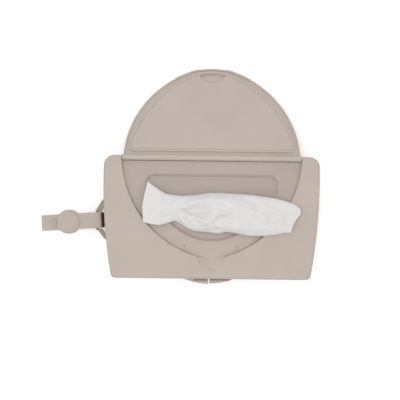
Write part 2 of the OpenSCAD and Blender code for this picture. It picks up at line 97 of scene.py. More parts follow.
def looked_at(tree):
    """1 on rays that make the picture: straight, mirrored or through glass."""
    ray = add(tree, "ShaderNodeLightPath").outputs
    straight, mirrored, through = ray["Is Camera Ray"], ray["Is Glossy Ray"], ray["Is Transmission Ray"]
    some = add(tree, "ShaderNodeMath", [(0, straight), (1, mirrored)], operation="ADD")
    every = add(tree, "ShaderNodeMath", [(0, some.outputs[0]), (1, through)], operation="ADD")
    every.use_clamp = True
    return every.outputs[0]


world = bpy.data.worlds.new("pale_room")
bpy.context.scene.world = world
world.use_nodes = True
room = world.node_tree
room_light, room_seen = 0.74, 1.0
room.nodes["Background"].inputs["Color"].default_value = (1, 1, 1, 1)
room_glow = add(
    room, "ShaderNodeMapRange", [("Value", looked_at(room))], To_Min=room_light, To_Max=room_seen,
)
room.links.new(room_glow.outputs["Result"], room.nodes["Background"].inputs["Strength"])


def linear(hex_colour):
    """A written sRGB colour as the linear one that the shader takes."""
    parts = [int(hex_colour[i : i + 2], 16) / 255 for i in (1, 3, 5)]
    return tuple(c / 12.92 if c <= 0.04045 else ((c + 0.055) / 1.055) ** 2.4 for c in parts) + (1,)


def new_material(name):
    material = bpy.data.materials.new(name)
    material.use_nodes = True
    return material, material.node_tree, material.node_tree.nodes["Principled BSDF"]


table_white, tree, shader = new_material("white_table")
tree.nodes.remove(shader)
matt = add(tree, "ShaderNodeBsdfDiffuse", Color=(0.93, 0.93, 0.93, 1))
glow = add(tree, "ShaderNodeEmission", [("Strength", looked_at(tree))], Color=(0.3, 0.3, 0.3, 1))
both = add(tree, "ShaderNodeAddShader", [(0, matt.outputs[0]), (1, glow.outputs[0])])
tree.links.new(both.outputs[0], tree.nodes["Material Output"].inputs["Surface"])

table_half, table_drop = 3, 0.0002
table_corners = [(table_half * x, table_half * y, 0) for x, y in ((-1, -1), (1, -1), (1, 1), (-1, 1))]
table_mesh = bpy.data.meshes.new("table_top")
table_mesh.from_pydata(table_corners, [], [(0, 1, 2, 3)])
table_mesh.transform(Matrix.Translation((0, 0, -table_drop)))
table_mesh.materials.append(table_white)
table_top = new_object("table_top", table_mesh)

# ---------------------------------------------------------------- the two shells
# Front and rear shell are moulded in a warm taupe plastic with a fine satin
# texture from the mould. Every edge is a little rounded, as a moulding's are.


def set_tones(ramp, colour, darker, lighter):
    """Gives a ramp's two ends a darker and a lighter share of one written colour."""
    for stop, share in zip(ramp.elements, (darker, lighter)):
        stop.color = tuple(c * share for c in linear(colour)[:3]) + (1,)


def satin_plastic(name, colour, roughness=0.5, grain=0.000035):
    """Moulded plastic, taken as ABS: a soft broad sheen that the mould's fine texture breaks up."""
    material, tree, shader = new_material(name)
    place = add(tree, "ShaderNodeTexCoord").outputs["Object"]
    cloud = add(tree, "ShaderNodeTexNoise", [("Vector", place)], Scale=22.0, Detail=4.0, Roughness=0.55)
    tone = add(tree, "ShaderNodeValToRGB", [("Fac", cloud.outputs["Fac"])])
    set_tones(tone.color_ramp, colour, 0.975, 1.025)
    tone.color_ramp.elements[0].position = 0.35
    tone.color_ramp.elements[1].position = 0.65
    tree.links.new(tone.outputs["Color"], shader.inputs["Base Color"])
    rub = add(tree, "ShaderNodeTexNoise", [("Vector", place)], Scale=160.0, Detail=3.0)
    shine = add(
        tree, "ShaderNodeMapRange", [("Value", rub.outputs["Fac"])],
        To_Min=roughness - 0.06, To_Max=roughness + 0.08,
    )
    tree.links.new(shine.outputs["Result"], shader.inputs["Roughness"])
    fine = add(tree, "ShaderNodeTexNoise", [("Vector", place)], Scale=1400.0, Detail=2.0)
    bump = add(tree, "ShaderNodeBump", [("Height", fine.outputs["Fac"])], Strength=0.35, Distance=grain)
    tree.links.new(bump.outputs["Normal"], shader.inputs["Normal"])
    shader.inputs["Specular IOR Level"].default_value = 0.35
    return material


def smooth_faces(data):
    for polygon in data.polygons:
        polygon.use_smooth = True


def soften(piece, width, material, merge_flat=True):
    """Rounds a piece's edges with modifiers, and gives it its finish."""
    piece.data.materials.clear()
    piece.data.materials.append(material)
    weld = piece.modifiers.new("joined", "WELD")
    weld.merge_threshold = 0.00001
    if merge_flat:
        flat = piece.modifiers.new("flat_faces", "DECIMATE")
        flat.decimate_type = "DISSOLVE"
        flat.angle_limit = math.radians(0.6)
    edge = piece.modifiers.new("soft_edges", "BEVEL")
    edge.width = width
    edge.segments = 2
    edge.limit_method = "ANGLE"
    edge.angle_limit = math.radians(28)
    smooth_faces(piece.data)
    even = piece.modifiers.new("even_shading", "WEIGHTED_NORMAL")
    even.keep_sharp = True
    even.weight = 100


def shade_recess(material, floor_share=0.13, dish_share=0.02):
    """Darkens the colour in the lid's recess towards the hinge, and a little more in the dish.

    The photograph shows it darker there, which is probably light. This tone is painted
    to match and stands for no pigment.
    """
    tree, shader = material.node_tree, material.node_tree.nodes["Principled BSDF"]
    here = add(tree, "ShaderNodeTexCoord").outputs["Object"]
    place = add(tree, "ShaderNodeSeparateXYZ", [("Vector", here)]).outputs
    aside = add(tree, "ShaderNodeMath", [(0, place["X"])], operation="ABSOLUTE").outputs[0]
    floor = add(
        tree, "ShaderNodeMapRange", [("Value", place["Z"])],
        From_Min=0.0316, From_Max=0.0345, To_Min=floor_share, To_Max=0.0,
    )
    up = add(tree, "ShaderNodeMapRange", [("Value", place["Y"])], From_Min=-0.030, From_Max=0.046)
    dish = add(
        tree, "ShaderNodeMapRange", [("Value", place["Z"])],
        From_Min=0.0302, From_Max=0.0316, To_Min=dish_share, To_Max=0.0,
    )
    slope = add(
        tree, "ShaderNodeMath", [(0, floor.outputs["Result"]), (1, up.outputs["Result"])],
        operation="MULTIPLY",
    )
    dark = add(
        tree, "ShaderNodeMath", [(0, slope.outputs[0]), (1, dish.outputs["Result"])],
        operation="ADD",
    )
    recess_edges = (
        (aside, "LESS_THAN", 0.0875),
        (place["Y"], "GREATER_THAN", -0.0395),
        (place["Y"], "LESS_THAN", 0.056),
    )
    for socket, operation, edge in recess_edges:
        inside = add(tree, "ShaderNodeMath", [(0, socket)], operation=operation)
        inside.inputs[1].default_value = edge
        dark = add(
            tree, "ShaderNodeMath", [(0, dark.outputs[0]), (1, inside.outputs[0])],
            operation="MULTIPLY",
        )
    light = add(tree, "ShaderNodeMath", [(1, dark.outputs[0])], operation="SUBTRACT")
    light.inputs[0].default_value = 1.0
    colour = shader.inputs["Base Color"].links[0].from_socket
    toned = add(
        tree, "ShaderNodeVectorMath", [("Vector", colour), ("Scale", light.outputs[0])],
        operation="SCALE",
    )
    tree.links.new(toned.outputs["Vector"], shader.inputs["Base Color"])
    return material


shell_plastic = satin_plastic("taupe_satin_shell", "#beb1a8")
front_plastic = shade_recess(satin_plastic("taupe_satin_front", "#beb1a8"))
soften(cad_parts["rear_shell"], 0.0003, shell_plastic)
soften(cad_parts["front_shell"], 0.0003, front_plastic, merge_flat=False)

# ---------------------------------------------------------------- sloping walls
# The mould's draft leaves the walls of the lid's recess and of the dish a little
# slanted. Each is one long wedge against the shell's wall, in the shell's plastic,
# and shows from above as a fine shaded line that runs out at the thumb scoop.


def skin(mesh, rows, ring=False):
    """Faces between closed rows of vertices, capped at both ends unless they form a ring."""
    following = rows[1:] + rows[:1] if ring else rows[1:]
    for a, b in zip(rows, following):
        for k in range(len(a)):
            mesh.faces.new((a[k], a[(k + 1) % len(a)], b[(k + 1) % len(a)], b[k]))
    if not ring:
        mesh.faces.new(rows[0])
        mesh.faces.new(list(reversed(rows[-1])))
    bmesh.ops.recalc_face_normals(mesh, faces=mesh.faces)


def finished(mesh, name, *materials):
    """The bmesh as an object in the scene."""
    data = bpy.data.meshes.new(name)
    mesh.to_mesh(data)
    mesh.free()
    for material in materials:
        data.materials.append(material)
    return new_object(name, data)


def arch_side(half_width, top, tip, nose, side, steps=48):
    """Right half of a D-shaped outline with its outward normals, tip first."""
    nose, side = math.radians(nose), math.radians(side)
    lean = math.tan(nose / 2)
    radius = (top - tip - half_width * lean) / (1 - math.cos(side) - lean * math.sin(side))
    centre_x, centre_y = radius * math.sin(side) - half_width, top + radius * math.cos(side)
    nose_radius = radius - centre_x / math.sin(nose)
    nose_y = centre_y - (radius - nose_radius) * math.cos(nose)
    points = []
    for k in range(steps + 1):
        a = side * k / steps
        r, cx, cy = (nose_radius, 0, nose_y) if a < nose else (radius, -centre_x, centre_y)
        points.append((r * math.sin(a) + cx, cy - r * math.cos(a), math.sin(a), -math.cos(a)))
    return points


def draft_wedge(name, outline, foot, low, high, closed, fade):
    """A wedge along an outline: upright at the back, its slope facing inwards."""
    into_wall, into_floor, thinnest = 0.00008, 0.00005, 0.03
    mesh = bmesh.new()
    rows = []
    for x, y, nx, ny in outline:
        reach = foot * min(1, max(thinnest, fade(x, y)))
        back_x, back_y = x + into_wall * nx, y + into_wall * ny
        corners = (
            (back_x, back_y, low - into_floor),
            (back_x, back_y, low + (high - low) * reach / foot),
            (x - reach * nx, y - reach * ny, low - into_floor),
        )
        rows.append([mesh.verts.new(corner) for corner in corners])
    skin(mesh, rows, ring=closed)
    piece = finished(mesh, name, front_plastic)
    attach(piece, "case_front")


def run_out(x, y):
    """Share of the full wedge: hardly any at the thumb scoop, all of it 6 mm further on."""
    return (abs(x) - 0.0105) / 0.006


recess_side = arch_side(0.0855, 0.0532, -0.0385, 20, 86.7)
scoop_edge = 0.0095
for name, mirror in (("recess_slope_right", 1), ("recess_slope_left", -1)):
    outline = [(mirror * x, y, mirror * nx, ny) for x, y, nx, ny in recess_side if x > scoop_edge]
    draft_wedge(name, outline, 0.00125, 0.032, 0.0358, False, run_out)

dish_half, dish_corner_x, dish_corner_y, dish_corner = 0.063, 0.0545, 0.0325, 0.0085
dish_side = arch_side(dish_half, 0.0235, -0.0228, 29.5, 64)
dish_side.append((dish_half, dish_corner_y, 1.0, 0.0))
for k in range(1, 9):
    c, s = math.cos(math.radians(90 * k / 8)), math.sin(math.radians(90 * k / 8))
    dish_side.append((dish_corner_x + dish_corner * c, dish_corner_y + dish_corner * s, c, s))
dish_outline = dish_side + [(-x, y, -nx, ny) for x, y, nx, ny in reversed(dish_side[1:])]
draft_wedge("dish_slope", dish_outline, 0.0027, 0.030, 0.0318, True, lambda x, y: 1)

# ---------------------------------------------------------------- mark on the chin
# A short low dash stands on the panel under the thumb scoop. It is 7.5 mm long, 1.4 mm
# wide and 0.16 mm high, with round ends and a bevelled edge.

dash_x, dash_y, dash_radius = 0.00305, -0.0501, 0.0007
right_end, left_end = range(-90, 91, 15), range(90, 271, 15)
dash_round = [(dash_x, a) for a in right_end] + [(-dash_x, a) for a in left_end]
dash_mesh = bmesh.new()
dash_rows = []
for grow, height in ((0.0001, 0.0358), (0.0, 0.03612), (-0.0002, 0.03616)):
    row = []
    for x, degrees in dash_round:
        a, r = math.radians(degrees), dash_radius + grow
        row.append(dash_mesh.verts.new((x + r * math.cos(a), dash_y + r * math.sin(a), height)))
    dash_rows.append(row)
skin(dash_mesh, dash_rows)
chin_dash = finished(dash_mesh, "chin_dash", front_plastic)
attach(chin_dash, "case_front")

# ---------------------------------------------------------------- refill hinge pins
# Two bright drawn steel pins, pushed into the rear shell's knuckles. The front
# shell's knuckles turn on them.


def drawn_steel(name):
    """Drawn steel wire: a bright metal with fine lines along the pin."""
    material, tree, shader = new_material(name)
    place = add(tree, "ShaderNodeTexCoord").outputs["Object"]
    along = add(tree, "ShaderNodeMapping", [("Vector", place)], Scale=(30, 1800, 1800))
    lines = add(
        tree, "ShaderNodeTexNoise", [("Vector", along.outputs["Vector"])], Scale=1.0, Detail=3.0,
    )
    shine = add(tree, "ShaderNodeMapRange", [("Value", lines.outputs["Fac"])], To_Min=0.2, To_Max=0.42)
    tree.links.new(shine.outputs["Result"], shader.inputs["Roughness"])
    bump = add(
        tree, "ShaderNodeBump", [("Height", lines.outputs["Fac"])], Strength=0.2, Distance=0.00001,
    )
    tree.links.new(bump.outputs["Normal"], shader.inputs["Normal"])
    shader.inputs["Base Color"].default_value = linear("#b9babd")
    shader.inputs["Metallic"].default_value = 1.0
    return material


soften(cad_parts["case_hinge_pins"], 0.00015, drawn_steel("drawn_steel_pin"))

# ---------------------------------------------------------------- flip lid
# The lid is one moulding with its hinge barrel, and a smooth inner panel set into
# it. A soft bead runs round the panel, and a lens-shaped pocket at the tip takes
# a fingertip.

lid_plastic = satin_plastic("taupe_satin_lid", "#c2b5ac")
liner_plastic = satin_plastic("taupe_smooth_liner", "#c1b4ac", roughness=0.46, grain=0.00002)
soften(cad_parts["lid_cover"], 0.0003, lid_plastic, merge_flat=False)
soften(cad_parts["lid_liner"], 0.0002, liner_plastic)

# ---------------------------------------------------------------- soft seals
# Matt silicone in the shell's colour: the lid's bead, the gasket on the rear
# shell's ledge and the ring that grips the wipe. They are pressed into place.


def matt_silicone(name, colour):
    """Moulded silicone: no clear highlight, and a faint pale bloom at grazing angles."""
    material, tree, shader = new_material(name)
    place = add(tree, "ShaderNodeTexCoord").outputs["Object"]
    cloud = add(tree, "ShaderNodeTexNoise", [("Vector", place)], Scale=35.0, Detail=5.0, Roughness=0.6)
    tone = add(tree, "ShaderNodeValToRGB", [("Fac", cloud.outputs["Fac"])])
    set_tones(tone.color_ramp, colour, 0.96, 1.03)
    tree.links.new(tone.outputs["Color"], shader.inputs["Base Color"])
    dust = add(tree, "ShaderNodeTexNoise", [("Vector", place)], Scale=900.0, Detail=4.0)
    bump = add(
        tree, "ShaderNodeBump", [("Height", dust.outputs["Fac"])], Strength=0.3, Distance=0.00004,
    )
    tree.links.new(bump.outputs["Normal"], shader.inputs["Normal"])
    shader.inputs["Roughness"].default_value = 0.68
    shader.inputs["Specular IOR Level"].default_value = 0.28
    shader.inputs["Sheen Weight"].default_value = 0.12
    shader.inputs["Sheen Roughness"].default_value = 0.5
    return material


bead_silicone = matt_silicone("taupe_silicone_seal", "#c3b7ae")
for seal in ("lid_seal", "case_seal", "dispensing_ring"):
    soften(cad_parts[seal], 0.00015, bead_silicone)

# ---------------------------------------------------------------- side loop
# A D-shaped loop with a satin face, of the shells' plastic: its darker grey-olive
# colour is painted shade, for where it lies low beside the case. Its two broad legs
# sit in sockets in the rear shell, and the band turns on its round bar.

mm = 0.001
bar_x, bar_z, bar_radius = -0.1107, 0.009, 0.0017
leg_low, leg_high, bar_sides = 0.0072, 0.0108, 40
upper_leg = [
    (-98, 12.4), (-102.6, 11.4), (-104.6, 8.2), (-106.7, 4.0), (-112.3, 4.0),
    (-112.3, 4.9), (-106.3, 15.0), (-104.2, 16.6), (-98, 16.6),
]
lower_leg = [
    (-98, -18.6), (-102.2, -17.8), (-104.2, -15.2), (-105.4, -12.8), (-112.3, -12.8),
    (-111.9, -13.6), (-109.2, -14.9), (-103.6, -22.4), (-101.8, -23.4), (-98, -23.4),
]
loop_mesh = bmesh.new()
for leg in (upper_leg, lower_leg):
    skin(loop_mesh, [
        [loop_mesh.verts.new((mm * x, mm * y, z)) for x, y in leg] for z in (leg_low, leg_high)
    ])
bar_rows = []
for y in (-0.0134, 0.0046):
    turns = [2 * math.pi * k / bar_sides for k in range(bar_sides)]
    bar_rows.append([
        loop_mesh.verts.new((bar_x + bar_radius * math.cos(a), y, bar_z + bar_radius * math.sin(a)))
        for a in turns
    ])
skin(loop_mesh, bar_rows)
side_loop = finished(loop_mesh, "side_loop")
# Darker than the shells' taupe: this colour paints the shade that the loop lies in beside the case.
loop_plastic = satin_plastic("grey_olive_painted_shade_loop", "#9a9284", roughness=0.44)
soften(side_loop, 0.0006, loop_plastic, merge_flat=False)
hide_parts("strap_loop")
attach(side_loop, "case_back")

# ---------------------------------------------------------------- snap strap
# One soft silicone band: its round end lies on top, the band goes over the loop's
# bar, back underneath and round a fold at the far left, and ends in a second round
# end under the first. Edges are rounded, and hollow curves lead into the round ends.

loop_y, band_half, band_thick, band_turn = -0.0044, 0.0077, 0.002, math.radians(4)
pad_x, pad_r = bar_x - 0.0282, 0.01175
low_z, mid_z, top_z = 0.001, 0.0042, 0.0078
top_fillet, mid_fillet = 0.003, 0.0078
fold_x = bar_x - 0.0549 + band_thick
bend_mid = bar_radius + 0.0003 + band_half * math.sin(band_turn) + band_thick / 2


def pad_half_width(d, fillet):
    """Half-width at the distance d from the round end's middle: disc, hollow curve, band."""
    ends = math.sqrt((pad_r + fillet) ** 2 - (band_half + fillet) ** 2)
    if d <= ends * pad_r / (pad_r + fillet):
        return max(math.sqrt(max(pad_r**2 - d * d, 0)), 0.0006)
    if d < ends:
        return band_half + fillet - math.sqrt(fillet**2 - (ends - d) ** 2)
    return band_half


def bend(centre, radius, start, end, count, squareness=2.0):
    """Places round a turn of the band: a circle at squareness 2, and boxier above that."""
    turns = []
    for degrees in np.linspace(start, end, count + 1):
        c, s = math.cos(math.radians(degrees)), math.sin(math.radians(degrees))
        x, z = (math.copysign(abs(part) ** (2 / squareness), part) for part in (c, s))
        turns.append((centre[0] + radius * x, centre[1] + radius * z, band_half))
    return turns


def around_disc(start, end, count):
    """Distances from a round end's middle, closer together towards its rim."""
    return pad_r * np.sin(np.radians(np.linspace(start, end, count)))


# Places along the band: x, height and half-width
path = [(pad_x + d, top_z, pad_half_width(d, top_fillet)) for d in around_disc(-86, -4, 45)]
path += [(pad_x + d, top_z, pad_half_width(d, top_fillet)) for d in np.linspace(0, 0.012, 60)]
path += [
    (pad_x + d, top_z + lift, band_half)
    for d, lift in ((0.0132, 0.00008), (0.0145, 0.0003), (0.016, 0.00075), (0.0175, 0.0013))
]
path += bend((bar_x, bar_z), bend_mid, 105, -100, 80, squareness=4.0)
path += [
    (pad_x + d, low_z + lift, band_half)
    for d, lift in ((0.0155, 0.0009), (0.0085, 0), (0, 0), (-0.0125, 0))
]
path += bend((fold_x, (low_z + mid_z) / 2), (mid_z - low_z) / 2, 270, 90, 20)
path += [(pad_x - 0.014, mid_z, band_half)]
path += [(pad_x - d, mid_z, pad_half_width(d, mid_fillet)) for d in np.linspace(0.0125, 0.003, 40)]
path += [(pad_x - d, mid_z, pad_half_width(d, mid_fillet)) for d in around_disc(10, -86, 60)]

edge_round, round_steps = 0.0006, 5
band_mesh = bmesh.new()
rows = []
for i, (x, z, half) in enumerate(path):
    before, after = path[max(i - 1, 0)], path[min(i + 1, len(path) - 1)]
    along = Vector((after[0] - before[0], after[1] - before[1])).normalized()
    corner = min(edge_round, half * 0.9)
    row = []
    for cy, cn, start in ((1, 1, 0), (-1, 1, 90), (-1, -1, 180), (1, -1, 270)):
        for k in range(round_steps + 1):
            a = math.radians(start + 90 * k / round_steps)
            side = cy * (half - corner) + corner * math.cos(a)
            lift = cn * (band_thick / 2 - edge_round) + edge_round * math.sin(a)
            row.append(band_mesh.verts.new((x - along[1] * lift, side, z + along[0] * lift)))
    rows.append(row)
skin(band_mesh, rows)
to_bar, from_bar = Matrix.Translation((bar_x, loop_y, 0)), Matrix.Translation((-bar_x, 0, 0))
lay = to_bar @ Matrix.Rotation(band_turn, 4, "Z") @ from_bar
bmesh.ops.transform(band_mesh, matrix=lay, verts=band_mesh.verts)
band_silicone = matt_silicone("taupe_silicone_band", "#c1b4ab")
wrist_band = finished(band_mesh, "wrist_band", band_silicone)
smooth_faces(wrist_band.data)
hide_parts("strap_band")
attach(wrist_band, "strap")

# A near-black slit shows between the bend and the case; what makes it is a guess, here taken as deep
# shade.
# This near-black sleeve on the outside of the bend is painted shadow that stands for it.
sleeve_x, sleeve_half, boxiness = bar_x + 0.0043, 0.0029, 0.6
sleeve_side = [(0.0074, 0.0018), (0.0071, 0.0024), (0.0065, 0.0028)]
sleeve_plan = [(-y, thick) for y, thick in sleeve_side] + list(reversed(sleeve_side))
sleeve_mesh = bmesh.new()
sleeve_rows = []
for y, thick in sleeve_plan:
    row = []
    for degrees in np.linspace(-90, 90, 25):
        c, s = math.cos(math.radians(degrees)), math.sin(math.radians(degrees))
        out, lift = thick * abs(c) ** boxiness, sleeve_half * math.copysign(abs(s) ** boxiness, s)
        row.append(sleeve_mesh.verts.new((sleeve_x + out, y, bar_z + lift)))
    sleeve_rows.append(row)
skin(sleeve_mesh, sleeve_rows)
bmesh.ops.transform(sleeve_mesh, matrix=lay, verts=sleeve_mesh.verts)
# The sleeve's near-black colour is painted shadow for the slit, not the colour of a real part.
bend_sleeve = finished(sleeve_mesh, "bend_sleeve", matt_silicone("painted_shadow_sleeve", "#2e211a"))
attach(bend_sleeve, "strap")

# Low rim round the upper round end, which the snap's cap sits in: radius and height
rim_profile = [
    (0.0100, 0.0087), (0.0100, 0.00918), (0.01115, 0.00918),
    (0.01148, 0.00911), (0.01168, 0.00892), (0.01174, 0.0087),
]
rim_steps = 96
rim_mesh = bmesh.new()
rim_rows = []
for k in range(rim_steps):
    c, s = math.cos(2 * math.pi * k / rim_steps), math.sin(2 * math.pi * k / rim_steps)
    rim_rows.append([rim_mesh.verts.new((pad_x + r * c, r * s, z)) for r, z in rim_profile])
skin(rim_mesh, rim_rows, ring=True)
bmesh.ops.transform(rim_mesh, matrix=lay, verts=rim_mesh.verts)
round_end_rim = finished(rim_mesh, "round_end_rim", band_silicone)
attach(round_end_rim, "strap")

# ---------------------------------------------------------------- snap
# A bare round cap over the snap, its moulded socket in the band, and two moulded
# studs: one under the cap and a spare one nearer to the fold.

soften(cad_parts["snap_cap"], 0.0004, band_silicone)
# The snap parts are a little darker than the band: partly their own tone and partly painted shade, so
# that the studs' rings show all round.
snap_plastic = satin_plastic("taupe_snap", "#b8aba1", roughness=0.4)
for snap in ("snap_socket", "snap_studs"):
    soften(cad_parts[snap], 0.0002, snap_plastic)

# ---------------------------------------------------------------- folded refill
# The refill is a pack of moist white wipes, each folded once and laid on the next.
# The pack is built as repeated leaves that are a little out of line at the edges.


def moist_cloth(name):
    """Moist non-woven cloth: matt white, with a fibrous relief and unevenly wet patches."""
    material, tree, shader = new_material(name)
    place = add(tree, "ShaderNodeTexCoord").outputs["Object"]
    web = add(
        tree, "ShaderNodeTexNoise", [("Vector", place)],
        Scale=420.0, Detail=6.0, Roughness=0.7, Distortion=0.6,
    )
    patch = add(tree, "ShaderNodeTexNoise", [("Vector", place)], Scale=60.0, Detail=3.0)
    tone = add(tree, "ShaderNodeValToRGB", [("Fac", patch.outputs["Fac"])])
    set_tones(tone.color_ramp, "#e5e4e3", 0.96, 1.0)
    tree.links.new(tone.outputs["Color"], shader.inputs["Base Color"])
    fibre = add(tree, "ShaderNodeTexVoronoi", [("Vector", place)], Scale=900.0)
    relief = add(
        tree, "ShaderNodeMath", [(0, web.outputs["Fac"]), (1, fibre.outputs["Distance"])],
        operation="ADD",
    )
    bump = add(tree, "ShaderNodeBump", [("Height", relief.outputs[0])], Strength=0.4, Distance=0.00008)
    tree.links.new(bump.outputs["Normal"], shader.inputs["Normal"])
    wet = add(tree, "ShaderNodeMapRange", [("Value", patch.outputs["Fac"])], To_Min=0.55, To_Max=0.8)
    tree.links.new(wet.outputs["Result"], shader.inputs["Roughness"])
    shader.inputs["Specular IOR Level"].default_value = 0.3
    shader.inputs["Sheen Weight"].default_value = 0.12
    shader.inputs["Subsurface Weight"].default_value = 0.1
    shader.inputs["Subsurface Radius"].default_value = (1.0, 1.0, 1.0)
    shader.inputs["Subsurface Scale"].default_value = 0.001
    return material


wipe_cloth = moist_cloth("moist_nonwoven")
pack_low, pack_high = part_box("wipes_stack")
leaf_count, leaf_inset, leaf_fill, out_of_line = 20, 0.0022, 0.86, 0.0009
pack_x, pack_y, pack_z = (high - low for high, low in zip(pack_high, pack_low))
leaf_step = pack_z / leaf_count

leaf = bmesh.new()
bmesh.ops.create_cube(leaf, size=1.0)
leaf_size = (pack_x - leaf_inset, pack_y - leaf_inset, leaf_step * leaf_fill)
bmesh.ops.scale(leaf, vec=leaf_size, verts=leaf.verts)
upright = [e for e in leaf.edges if abs(e.verts[0].co.z - e.verts[1].co.z) > 1e-5]
bmesh.ops.bevel(leaf, geom=upright, offset=0.004, segments=4, affect="EDGES", profile=0.5)
leaf_shape = finished(leaf, "leaf_shape")

pack_tree = bpy.data.node_groups.new("pack_of_leaves", "GeometryNodeTree")
pack_settings = {
    "Leaf": ("Object", leaf_shape),
    "Leaves": ("Int", leaf_count),
    "Step": ("Float", leaf_step),
    "Out of line": ("Float", out_of_line),
    "Cloth": ("Material", wipe_cloth),
}
pack_inputs = {
    name: pack_tree.interface.new_socket(name=name, in_out="INPUT", socket_type="NodeSocket" + kind)
    for name, (kind, _) in pack_settings.items()
}
pack_tree.interface.new_socket(name="Geometry", in_out="OUTPUT", socket_type="NodeSocketGeometry")
given = pack_tree.nodes.new("NodeGroupInput").outputs
ready = pack_tree.nodes.new("NodeGroupOutput")
column = add(pack_tree, "GeometryNodeMeshLine", [("Count", given["Leaves"])])
rise = add(pack_tree, "ShaderNodeCombineXYZ", [("Z", given["Step"])])
pack_tree.links.new(rise.outputs["Vector"], column.inputs["Offset"])
spread = add(pack_tree, "ShaderNodeMath", [(0, given["Out of line"])], operation="MULTIPLY")
spread.inputs[1].default_value = -1.0
most, least = (
    add(pack_tree, "ShaderNodeCombineXYZ", [("X", shift), ("Y", shift)]).outputs["Vector"]
    for shift in (given["Out of line"], spread.outputs[0])
)
chance = add(pack_tree, "FunctionNodeRandomValue", [(0, least), (1, most)], data_type="FLOAT_VECTOR")
chance.inputs["Seed"].default_value = 7
shifted = add(
    pack_tree, "GeometryNodeSetPosition",
    [("Geometry", column.outputs["Mesh"]), ("Offset", chance.outputs[0])],
)
leaf_info = add(pack_tree, "GeometryNodeObjectInfo", [("Object", given["Leaf"])])
copies = add(
    pack_tree, "GeometryNodeInstanceOnPoints",
    [("Points", shifted.outputs["Geometry"]), ("Instance", leaf_info.outputs["Geometry"])],
)
solid = add(pack_tree, "GeometryNodeRealizeInstances", [("Geometry", copies.outputs["Instances"])])
dressed = add(
    pack_tree, "GeometryNodeSetMaterial",
    [("Geometry", solid.outputs["Geometry"]), ("Material", given["Cloth"])],
)
pack_tree.links.new(dressed.outputs["Geometry"], ready.inputs["Geometry"])

pack_seed = new_object("pack_seed", bpy.data.meshes.new("pack_seed"))
repeat = pack_seed.modifiers.new("pack_of_leaves", "NODES")
repeat.node_group = pack_tree
for name, (_, value) in pack_settings.items():
    repeat[pack_inputs[name].identifier] = value
bpy.context.view_layer.update()
seen = bpy.context.evaluated_depsgraph_get()
pack_data = bpy.data.meshes.new_from_object(pack_seed.evaluated_get(seen))
bpy.data.objects.remove(pack_seed)
bpy.data.objects.remove(leaf_shape)
pack_middle = (pack_low + pack_high) / 2
pack_data.transform(Matrix.Translation((pack_middle.x, pack_middle.y, pack_low.z + leaf_step / 2)))
folded_refill = new_object("folded_refill", pack_data)
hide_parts("wipes_stack")
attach(folded_refill, "case_back")

# ---------------------------------------------------------------- pulled-up wipe
# One moist wipe of 170 by 180 mm, doubled as it leaves the pack. Both its ends lie
# on the pack under the shell; it is pleated where the soft ring grips it, spreads
# out above the slot and flops over, with a free corner at the left.

# In millimetres, from left to right: edges, height and the level of what it lies on
slot_y, slot_top, pack_top = 3.0, 31.2, 18.75
edge_left, edge_right = -65.2, 83.9
back_edge = [
    (-65.2, 33.2), (-60.7, 30.6), (-52, 26.3), (-46, 23.6), (-43.5, 22.0), (-36, 20.9),
    (-26.5, 20.2), (-15, 21.2), (-3.8, 23.2), (7.1, 23.5), (20, 22.9), (36.4, 22.0),
    (52.7, 19.9), (60, 18.7), (66, 17.6), (70, 17.1), (76, 16.1), (80, 15), (83.9, 12.5),
]
front_edge = [
    (-65.2, -4.6), (-60, -6.3), (-50.4, -7.7), (-41.7, -6.0), (-34.1, -3.2), (-28.6, -6.4),
    (-22, -10.6), (-16.7, -12.7), (-8, -13.6), (-1.5, -13.9), (7.1, -15), (14.7, -13.2),
    (25.5, -15.0), (36.4, -17.0), (49.4, -16.8), (62, -15.2), (74.9, -13.6), (83.9, -13.2),
]
left_edge = [(-8, -64), (-4.6, -64.3), (9.5, -65.2), (19.4, -63.6), (33.2, -60.5)]
right_edge = [
    (-14.4, 74.9), (-5, 77.7), (0, 80.8), (4, 84), (7, 84.5), (9.5, 83.4), (12.5, 80),
    (14, 78.4), (17, 77),
]
heights = [
    (-65.2, 1.0), (-58, 2.5), (-48, 4.5), (-38, 6.5), (-30, 9.0), (-20, 13), (-5, 14.5),
    (15, 13.5), (35, 10.5), (55, 7), (72, 4.5), (83.9, 1.5),
]
ground = [(-65.2, 36.6), (-52, 36.5), (-40, 33.6), (38, 33.6), (50, 36.6), (83.9, 36.7)]
